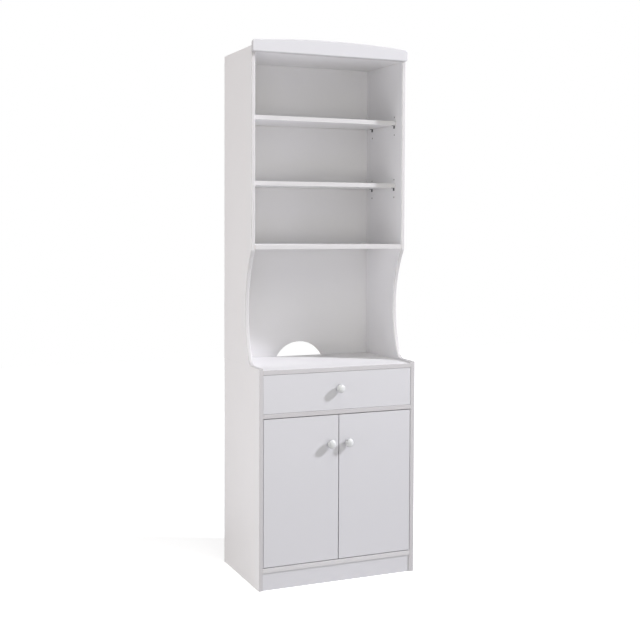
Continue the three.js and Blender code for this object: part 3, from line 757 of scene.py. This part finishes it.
for name, boards in (("base_back", ["base_panel"]), ("hutch_back", ["fixed_shelf", "top_panel"])):
    low, high = corners(name)
    outline = [(high[0], low[2]), (high[0], high[2]), (low[0], high[2]), (low[0], low[2])]
    if name == "hutch_back":
        arch_z = COUNTER_TOP + ARCH_HEIGHT - ARCH_RADIUS
        springing = math.asin((low[2] - arch_z) / ARCH_RADIUS)
        outline += arc((0, arch_z), ARCH_RADIUS, math.pi - springing, springing, 48)
    stock = bmesh.new()
    sheet = saw(stock, outline, "Y", low[1], low[1] + BACK_SHEET)
    ease(stock, sharp_edges(sheet), SHEET_ARRIS)
    skin_faces(stock, "-Y")
    nail_sheet(name, stock, [middle(board)[2] for board in boards])
    piece = make_piece(name, stock, SHEET_SKINS)
    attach(piece, "cabinet")
    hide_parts(name)


# Shelf pins: strips of zinc plated steel bent to an L, with a peg that plugs into the side. One
# leaf lies on the side and the other carries the shelf.
PIN_SHEET = 1.6
PIN_BEND = 1.6
PIN_ARRIS = 0.25
PEG_RADIUS = 2.4
PEG_LENGTH = 8
PEG_ROOT = 0.4
PEG_TAPER = (0.6, 0.8)
# The pins' steel is made near black, much darker than the other zinc plated parts.
near_black_zinc = plated_steel("near-black zinc steel", (0.13, 0.13, 0.14, 1), 0.42)


def bent_strip(places, thickness, bend, steps=6):
    """Outline of a strip whose middle line runs through the places, rounded to the bend."""
    line = [Vector(places[0])]
    for before, here, after in zip(places, places[1:], places[2:]):
        into = (Vector(here) - Vector(before)).normalized()
        out = (Vector(after) - Vector(here)).normalized()
        angle = math.atan2(into.x * out.y - into.y * out.x, into.dot(out))
        start = Vector(here) - into * bend * math.tan(abs(angle) / 2)
        centre = start + Vector((-into.y, into.x)) * math.copysign(bend, angle)
        for k in range(steps + 1):
            line.append(centre + Matrix.Rotation(angle * k / steps, 2) @ (start - centre))
    line.append(Vector(places[-1]))
    one, other = [], []
    for i, point in enumerate(line):
        along = (line[min(i + 1, len(line) - 1)] - line[max(i - 1, 0)]).normalized()
        across = Vector((-along.y, along.x)) * thickness / 2
        one.append(point + across)
        other.insert(0, point - across)
    return one + other


for shelf in ("cupboard", "lower", "upper"):
    for side, hand in (("left", -1), ("right", 1)):
        for end in ("front", "rear"):
            name = f"{shelf}_pin_{side}_{end}"
            low, high = corners(name)
            wall = hand * (INNER_X - PIN_SHEET / 2)
            tip = high[0] if side == "left" else low[0]
            top = high[2] - PIN_SHEET / 2
            stock = bmesh.new()
            leaf = saw(
                stock,
                bent_strip([(wall, low[2]), (wall, top), (tip, top)], PIN_SHEET, PIN_BEND),
                "Y", low[1], high[1],
            )
            ease(stock, sharp_edges(leaf), PIN_ARRIS)
            start = hand * (INNER_X + PEG_LENGTH)
            root = hand * (INNER_X - PEG_ROOT)
            peg = [
                (0, start), (PEG_RADIUS - PEG_TAPER[0], start),
                (PEG_RADIUS, start - hand * PEG_TAPER[1]), (PEG_RADIUS, root), (0, root),
            ]
            turn(stock, peg, "X", (middle(name)[1], high[2] - PIN_DROP), 24)
            piece = make_piece(name, stock, [near_black_zinc])
            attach(piece, "cabinet")
            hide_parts(name)


# Doors and drawer front: boards sprayed white with rounded edges. The doors are bored for the
# hinge cups, all three for a knob's screw, and the drawer front is grooved for the drawer's floor.
FRONT_ROUND = 1.0
CUP_BORE = 17.8
CUP_BORE_GAP = 0.3
SCREW_HOLE = 2.3
GROOVE_DEPTH = 6
GROOVE_GAP = 0.15


def drill_for_knob(tool, front, knob):
    """A hole through a front for its knob's screw."""
    low, high = corners(front)
    around = middle(knob)
    start, end = low[1] - OVERCUT, high[1] + OVERCUT
    profile = [(0, start), (SCREW_HOLE, start), (SCREW_HOLE, end), (0, end)]
    turn(tool, profile, "Y", (around[0], around[2]), 24, skin=2)


for side in ("left", "right"):
    name = f"door_{side}"
    open_end = corners(name)[1][1] + OVERCUT
    stock = cut_board(name, FRONT_ROUND)
    tool = bmesh.new()
    for place in ("lower", "upper"):
        cup = f"hinge_cup_{side}_{place}"
        floor_y = corners(cup)[0][1] - CUP_BORE_GAP
        around = middle(cup)
        profile = [(0, floor_y), (CUP_BORE, floor_y), (CUP_BORE, open_end), (0, open_end)]
        turn(tool, profile, "Y", (around[0], around[2]), 56, skin=2)
    drill_for_knob(tool, name, f"door_{side}_knob")
    piece = make_piece(name, cut_out(stock, tool), FRONT_SKINS)
    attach(piece, f"{side}_door")
    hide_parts(name)

low, high = corners("drawer_front")
sheet_low, sheet_high = corners("drawer_floor")
stock = cut_board("drawer_front", FRONT_ROUND)
tool = bmesh.new()
groove_x = corners("drawer_side_right")[0][0] + GROOVE_DEPTH
saw_block(
    tool,
    (-groove_x, high[1] - GROOVE_DEPTH, sheet_low[2] - GROOVE_GAP),
    (groove_x, high[1] + OVERCUT, sheet_high[2] + GROOVE_GAP),
    skin=2,
)
drill_for_knob(tool, "drawer_front", "drawer_knob")
piece = make_piece("drawer_front", cut_out(stock, tool), FRONT_SKINS)
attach(piece, "drawer")
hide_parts("drawer_front")


# Knobs: moulded in glossy white plastic, each a rounded head on a waisted foot. A pan-head screw from
# behind the front holds each one.
KNOB_RADIUS = 15.4
KNOB_HALF = 11
KNOB_HEAD_PLACE = 16
KNOB_NECK = 7.5
KNOB_BORE = 12
KNOB_FOOT = [
    (0, KNOB_BORE), (SCREW_HOLE, KNOB_BORE), (SCREW_HOLE, 0), (9.5, 0), (9.85, 0.15), (10, 0.5),
    (10, 1.0), (9.8, 1.35), (9.3, 1.75), (8.6, 2.3), (8.0, 3.0), (7.65, 3.8), (KNOB_NECK, 4.8),
    (KNOB_NECK, 5.8),
]
SCREW_RADIUS = 1.9
SCREW_GRIP = 10
SCREW_HEAD_RADIUS = 3.8
SCREW_HEAD_HEIGHT = 2.4
PAN_HEIGHT = 0.64
KNOB_WHITE = (0.60, 0.605, 0.60, 1)


def glossy_plastic(name, colour, roughness):
    """Moulded plastic with a faint unevenness and a clear gloss."""
    material, tree, shader = new_material(name)
    skin = group_node(
        tree, SATIN_SKIN,
        {"Colour": colour, "Tone": 0.02, "Pearl": 300.0, "Roughness": roughness},
    )
    worn = group_node(tree, WORN_ARRIS, {"Width": 0.0008, "Amount": 0.2}).outputs["Mask"]
    rubbed = blend_colours(tree, worn, skin.outputs["Colour"], RUBBED_WHITE)
    wire(tree, shader, {"Base Color": rubbed, "Roughness": skin.outputs["Roughness"]})
    add_bump(tree, shader, skin.outputs["Height"], 0.03, 0.0004)
    return material


def screw_head():
    """A pan head of radius 1 standing on its seat along Z, with a cross recess."""
    head = bmesh.new()
    profile = [
        (0, 0), (1, 0), (1, 0.22), (0.96, 0.36), (0.86, 0.48), (0.66, 0.58), (0.36, 0.63),
        (0, PAN_HEIGHT),
    ]
    turn(head, [(radius / MM, along / MM) for radius, along in profile], "Z", (0, 0))
    long, slim = 0.52 / MM, 0.11 / MM
    cross = [
        (long, -slim), (long, slim), (slim, slim), (slim, long), (-slim, long), (-slim, slim),
        (-long, slim), (-long, -slim), (-slim, -slim), (-slim, -long), (slim, -long), (slim, -slim),
    ]
    recess = bmesh.new()
    saw(recess, cross, "Z", 0.26 / MM, 1 / MM)
    cut = cut_out(head, recess)
    mesh = bpy.data.meshes.new("screw head")
    cut.to_mesh(mesh)
    cut.free()
    return mesh


SCREW_HEAD = screw_head()


def place_head(stock, at, way, radius, height, skin=0):
    """A screw head on its seat, looking along the way; the place and sizes are in mm."""
    mesh = SCREW_HEAD.copy()
    turned = Vector(way).to_track_quat("Z", "Y").to_matrix().to_4x4()
    size = Matrix.Diagonal((radius * MM, radius * MM, height * MM / PAN_HEIGHT, 1))
    mesh.transform(Matrix.Translation(Vector(at) * MM) @ turned @ size)
    known = len(stock.faces)
    stock.from_mesh(mesh)
    stock.faces.ensure_lookup_table()
    for face in stock.faces[known:]:
        face.material_index = skin
    bpy.data.meshes.remove(mesh)


knob_plastic = glossy_plastic("moulded white plastic", KNOB_WHITE, 0.2)
widest = math.acos(KNOB_NECK / KNOB_RADIUS)
head_arc = arc((0, 0), 1, widest, -math.pi / 2, 30)
knob_profile = KNOB_FOOT + [
    (KNOB_RADIUS * max(0, r), KNOB_HEAD_PLACE - KNOB_HALF * y) for r, y in head_arc[:-1]
] + [(0, KNOB_HEAD_PLACE + KNOB_HALF)]
for front, body in (("drawer", "drawer"), ("door_left", "left_door"), ("door_right", "right_door")):
    name = f"{front}_knob"
    around = middle(name)
    face = corners(name)[1][1]
    seat = corners(f"{front}_knob_screw")[1][1] - SCREW_HEAD_HEIGHT
    stock = bmesh.new()
    turn(stock, [(r, face - out) for r, out in knob_profile], "Y", (around[0], around[2]), 64)
    piece = make_piece(name, stock, [knob_plastic])
    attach(piece, body)
    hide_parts(name)

    name = f"{front}_knob_screw"
    stock = bmesh.new()
    shank = [
        (0, face - SCREW_GRIP), (SCREW_RADIUS - 0.5, face - SCREW_GRIP),
        (SCREW_RADIUS, face - SCREW_GRIP + 0.7), (SCREW_RADIUS, seat + 0.4), (0, seat + 0.4),
    ]
    turn(stock, shank, "Y", (around[0], around[2]), 24)
    place_head(
        stock, (around[0], seat, around[2]), (0, 1, 0), SCREW_HEAD_RADIUS, SCREW_HEAD_HEIGHT
    )
    piece = make_piece(name, stock, [zinc_steel])
    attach(piece, body)
    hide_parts(name)


# Drawer box: two sides and a back of 12 mm melamine-faced board with banded top edges, and a floor
# of white hardboard that slides in grooves of the sides and the front and is nailed under the back.
for side, hand in (("left", -1), ("right", 1)):
    name = f"drawer_side_{side}"
    low, high = corners(name)
    stock = cut_board(name)
    skin_faces(stock, "+X -X", "+Z")
    inner = low[0] if hand > 0 else high[0]
    left, right = sorted((inner - hand * OVERCUT, inner + hand * GROOVE_DEPTH))
    tool = bmesh.new()
    saw_block(
        tool,
        (left, low[1] - OVERCUT, sheet_low[2] - GROOVE_GAP),
        (right, high[1] + OVERCUT, sheet_high[2] + GROOVE_GAP),
        skin=2,
    )
    piece = make_piece(name, cut_out(stock, tool), BOARD_SKINS)
    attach(piece, "drawer")
    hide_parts(name)

stock = cut_board("drawer_back")
skin_faces(stock, "+Y -Y", "+Z")
piece = make_piece("drawer_back", stock, BOARD_SKINS)
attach(piece, "drawer")
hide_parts("drawer_back")

stock = cut_board("drawer_floor", SHEET_ARRIS)
skin_faces(stock, "+Z")
piece = make_piece("drawer_floor", stock, SHEET_SKINS)
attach(piece, "drawer")
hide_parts("drawer_floor")


# Roller runners: rails rolled from white-lacquered sheet steel. The cabinet's rail is a channel
# screwed to the side, the drawer's rail hooks under its side, and each carries a riveted wheel.
RUNNER_SHEET = 1.2
RUNNER_BEND = 1.3
RUNNER_ARRIS = 0.2
RUNNER_GAP = 12.5
RAIL_SCREW_PLACES = (0.22, 0.5, 0.86)
RAIL_SCREW_RADIUS = 3.6
RAIL_SCREW_HEIGHT = 0.7
WHEEL_WIDTH = 7
WHEEL_BORE = 2.2
WHEEL_FACE = [
    (WHEEL_BORE, 0), (4.4, 0), (4.8, 0.9), (6.3, 0.9), (6.7, 0), (7.5, 0), (7.85, 0.15), (8, 0.6),
]
AXLE_RADIUS = 1.9
AXLE_END = 0.6
RIVET_RADIUS = 3.0
RIVET_HEIGHT = 0.5
STEEL_WHITE = (0.72, 0.72, 0.73, 1)
NYLON_WHITE = (0.74, 0.73, 0.68, 1)
lacquered_steel = satin_white(
    "white lacquered steel", STEEL_WHITE, 0.34, pearl=1200.0, bump=0.05, wear=0.6
)
nylon = glossy_plastic("nylon", NYLON_WHITE, 0.42)


def rivet_profile(root, face, hand):
    """An axle from a rail's web, with its riveted head over the wheel's hub."""
    neck = face - hand * RIVET_HEIGHT
    return [
        (0, root), (AXLE_RADIUS, root), (AXLE_RADIUS, neck), (RIVET_RADIUS, neck),
        (RIVET_RADIUS - 0.2, neck + hand * 0.25), (RIVET_RADIUS - 0.9, face), (0, face),
    ]


wheel_profile = WHEEL_FACE + [(r, WHEEL_WIDTH - along) for r, along in reversed(WHEEL_FACE)]
for side, hand in (("left", -1), ("right", 1)):
    wheel_front = f"runner_wheel_{side}_front"
    wheel_rear = f"runner_wheel_{side}_rear"
    wall = hand * INNER_X
    half = RUNNER_SHEET / 2

    name = f"runner_rail_{side}"
    low, high = corners(name)
    web = wall - hand * half
    flange = low[0] if hand > 0 else high[0]
    outline = bent_strip(
        [
            (flange, high[2] - half), (web, high[2] - half),
            (web, low[2] + half), (flange, low[2] + half),
        ],
        RUNNER_SHEET, RUNNER_BEND,
    )
    stock = bmesh.new()
    ease(stock, sharp_edges(saw(stock, outline, "Y", low[1], high[1])), RUNNER_ARRIS)
    around = middle(wheel_front)
    rivet_face = around[0] - hand * (WHEEL_WIDTH / 2 + AXLE_END)
    profile = rivet_profile(web, rivet_face, -hand)
    turn(stock, profile, "X", (around[1], around[2]), 24, skin=1)
    for share in RAIL_SCREW_PLACES:
        seat = (wall - hand * RUNNER_SHEET, low[1] + (high[1] - low[1]) * share, around[2])
        place_head(stock, seat, (-hand, 0, 0), RAIL_SCREW_RADIUS, RAIL_SCREW_HEIGHT, skin=1)
    piece = make_piece(name, stock, [lacquered_steel, zinc_steel])
    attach(piece, "cabinet")
    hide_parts(name)

    name = f"drawer_rail_{side}"
    low, high = corners(name)
    outer, inner = (high[0], low[0]) if hand > 0 else (low[0], high[0])
    lip = middle(wheel_front)[0] + hand * WHEEL_WIDTH / 2
    web = wall - hand * (RUNNER_GAP - RUNNER_SHEET + half)
    hook = corners(f"drawer_side_{side}")[0][2] - half
    outline = bent_strip(
        [(lip, high[2] - half), (web, high[2] - half), (web, hook), (inner, hook)],
        RUNNER_SHEET, RUNNER_BEND,
    )
    stock = bmesh.new()
    ease(stock, sharp_edges(saw(stock, outline, "Y", low[1], high[1])), RUNNER_ARRIS)
    around = middle(wheel_rear)
    profile = rivet_profile(web, outer, hand)
    turn(stock, profile, "X", (around[1], around[2]), 24, skin=1)
    piece = make_piece(name, stock, [lacquered_steel, zinc_steel])
    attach(piece, "drawer")
    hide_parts(name)

    for end in ("front", "rear"):
        name = f"runner_wheel_{side}_{end}"
        around = middle(name)
        start = around[0] - WHEEL_WIDTH / 2
        profile = [(r, start + along) for r, along in wheel_profile]
        stock = bmesh.new()
        turn(stock, profile, "X", (around[1], around[2]), 48, ring=True)
        piece = make_piece(name, stock, [nylon])
        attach(piece, f"wheel_{side}_{end}")
        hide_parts(name)


# Cup hinges: a nickel plated cup pressed into the door, with a pin across it, and a swan-neck arm
# that turns on the pin and is screwed to the base side.
CUP_RADIUS = 17.5
CUP_WALL = 1.2
CUP_FLANGE = 20
HINGE_PIN = 1.8
HINGE_PIN_DEPTH = 8.5
KNUCKLE_RADIUS = 3.6
KNUCKLE_BORE = 2.1
ARM_SHEET = 2.5
ARM_REACH = 12.5
ARM_CRANK = 30
ARM_BEND = 6
ARM_ROUND = 0.5
KNUCKLE_LAP = 2.7
ARM_SCREW_PLACES = (0.4, 0.85)
ARM_SCREW_RADIUS = 3.4
ARM_SCREW_HEIGHT = 1.2
nickel_steel = plated_steel("nickel plated steel", (0.62, 0.60, 0.57, 1), 0.24, (900.0, 60.0))

for side, hand in (("left", -1), ("right", 1)):
    for place in ("lower", "upper"):
        name = f"hinge_cup_{side}_{place}"
        low, high = corners(name)
        around = (middle(name)[0], middle(name)[2])
        inner = CUP_RADIUS - CUP_WALL
        seat = corners(f"door_{side}")[1][1]
        pin_y = corners(f"door_{side}")[0][1] + HINGE_PIN_DEPTH
        stock = bmesh.new()
        shell = [
            (0, low[1]), (CUP_RADIUS - 1.6, low[1]), (CUP_RADIUS - 0.5, low[1] + 0.5),
            (CUP_RADIUS, low[1] + 1.6), (CUP_RADIUS, seat), (CUP_FLANGE, seat),
            (CUP_FLANGE, high[1] - 0.7), (CUP_FLANGE - 0.3, high[1] - 0.2),
            (CUP_FLANGE - 0.8, high[1]), (inner + 0.7, high[1]), (inner + 0.2, high[1] - 0.2),
            (inner, high[1] - 0.7), (inner, low[1] + CUP_WALL + 1.4),
            (inner - 0.4, low[1] + CUP_WALL + 0.4), (inner - 1.4, low[1] + CUP_WALL),
            (0, low[1] + CUP_WALL),
        ]
        turn(stock, shell, "Y", around, 64)
        reach = inner + CUP_WALL / 2
        pin = [
            (0, around[1] - reach), (HINGE_PIN, around[1] - reach),
            (HINGE_PIN, around[1] + reach), (0, around[1] + reach),
        ]
        turn(stock, pin, "Z", (around[0], pin_y), 24)
        piece = make_piece(name, stock, [nickel_steel])
        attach(piece, f"{side}_door")
        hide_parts(name)

        name = f"hinge_arm_{side}_{place}"
        low, high = corners(name)
        pin_x = around[0]
        neck_x = pin_x - hand * ARM_REACH
        plate_x = hand * (INNER_X - ARM_SHEET / 2)
        cross_y = pin_y + ARM_CRANK
        outline = bent_strip(
            [
                (pin_x - hand * KNUCKLE_LAP, pin_y), (neck_x, pin_y),
                (neck_x, cross_y), (plate_x, cross_y), (plate_x, high[1]),
            ],
            ARM_SHEET, ARM_BEND, 10,
        )
        stock = bmesh.new()
        ease(stock, sharp_edges(saw(stock, outline, "Z", low[2], high[2])), ARM_ROUND, 3)
        knuckle = [
            (KNUCKLE_BORE, low[2]), (KNUCKLE_RADIUS - 0.4, low[2]),
            (KNUCKLE_RADIUS, low[2] + 0.4), (KNUCKLE_RADIUS, high[2] - 0.4),
            (KNUCKLE_RADIUS - 0.4, high[2]), (KNUCKLE_BORE, high[2]),
        ]
        turn(stock, knuckle, "Z", (pin_x, pin_y), 32, ring=True)
        for share in ARM_SCREW_PLACES:
            spot = cross_y + (high[1] - cross_y) * share
            seat = (hand * (INNER_X - ARM_SHEET), spot, around[1])
            place_head(stock, seat, (-hand, 0, 0), ARM_SCREW_RADIUS, ARM_SCREW_HEIGHT)
        piece = make_piece(name, stock, [nickel_steel])
        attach(piece, "cabinet")
        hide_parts(name)


# Magnetic catch: a plastic body under the drawer's rail, with a magnet between two steel poles for
# each door. The doors carry thin steel strikes, each with a flat screw.
CATCH_ROUND = 1.2
POLE_SHEET = 1.6
MAGNET_HEIGHT = 5
MAGNET_WIDTH = 24
CATCH_INSET = 0.2
CATCH_DEPTH = 8
CATCH_SEAT = 0.5
CATCH_FIT = 0.04
STRIKE_CORNER = 2
STRIKE_ARRIS = 0.2
SINK_DEPTH = 0.75
SINK_PROUD = 0.3
SINK_RADII = (1.9, 3.0)
STRIKE_SCREW_RADIUS = 2.4
STRIKE_SCREW_HEIGHT = 0.6
CATCH_GREY = (0.66, 0.64, 0.60, 1)
catch_plastic = glossy_plastic("catch plastic", CATCH_GREY, 0.45)
magnet_grey = plated_steel("magnet", (0.10, 0.10, 0.11, 1), 0.5)

low, high = corners("door_catch")
stock = cut_board("door_catch", CATCH_ROUND)
across = MAGNET_HEIGHT + 2 * POLE_SHEET
foot = middle("door_catch")[2] - across / 2
tool = bmesh.new()
fill = bmesh.new()
for hand in (-1, 1):
    around = middle("strike_left")[0] * hand
    left, right = around - MAGNET_WIDTH / 2, around + MAGNET_WIDTH / 2
    saw_block(tool, (left, low[1] - OVERCUT, foot), (right, low[1] + CATCH_DEPTH, foot + across))
    levels = [foot, foot + POLE_SHEET, foot + POLE_SHEET + MAGNET_HEIGHT, foot + across]
    for k, skin in enumerate((1, 2, 1)):
        front = low[1] + CATCH_INSET * (2 if skin == 2 else 1)
        saw_block(
            fill,
            (left + CATCH_FIT, front, levels[k] + CATCH_FIT),
            (right - CATCH_FIT, low[1] + CATCH_DEPTH + CATCH_SEAT, levels[k + 1] - CATCH_FIT),
            skin,
        )
stock = cut_out(stock, tool)
filling = bpy.data.meshes.new("filling")
fill.to_mesh(filling)
fill.free()
stock.from_mesh(filling)
bpy.data.meshes.remove(filling)
piece = make_piece("door_catch", stock, [catch_plastic, zinc_steel, magnet_grey])
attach(piece, "cabinet")
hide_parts("door_catch")

for side in ("left", "right"):
    name = f"strike_{side}"
    low, high = corners(name)
    around = middle(name)
    left, right = low[0] + STRIKE_CORNER, high[0] - STRIKE_CORNER
    foot, head = low[2] + STRIKE_CORNER, high[2] - STRIKE_CORNER
    outline = []
    for turns, corner in enumerate(((right, head), (left, head), (left, foot), (right, foot))):
        start = turns * math.pi / 2
        outline += arc(corner, STRIKE_CORNER, start, start + math.pi / 2, 5)
    stock = bmesh.new()
    rims = saw(stock, outline, "Y", low[1], high[1])[:2]
    ease(stock, list({edge for rim in rims for edge in rim.edges}), STRIKE_ARRIS)
    seat, mouth = high[1] - SINK_DEPTH, high[1] + SINK_PROUD
    sink = [(0, seat), (SINK_RADII[0], seat), (SINK_RADII[1], mouth), (0, mouth)]
    tool = bmesh.new()
    turn(tool, sink, "Y", (around[0], around[2]))
    stock = cut_out(stock, tool)
    place_head(
        stock, (around[0], seat, around[2]), (0, 1, 0), STRIKE_SCREW_RADIUS, STRIKE_SCREW_HEIGHT
    )
    piece = make_piece(name, stock, [zinc_steel])
    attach(piece, f"{side}_door")
    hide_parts(name)
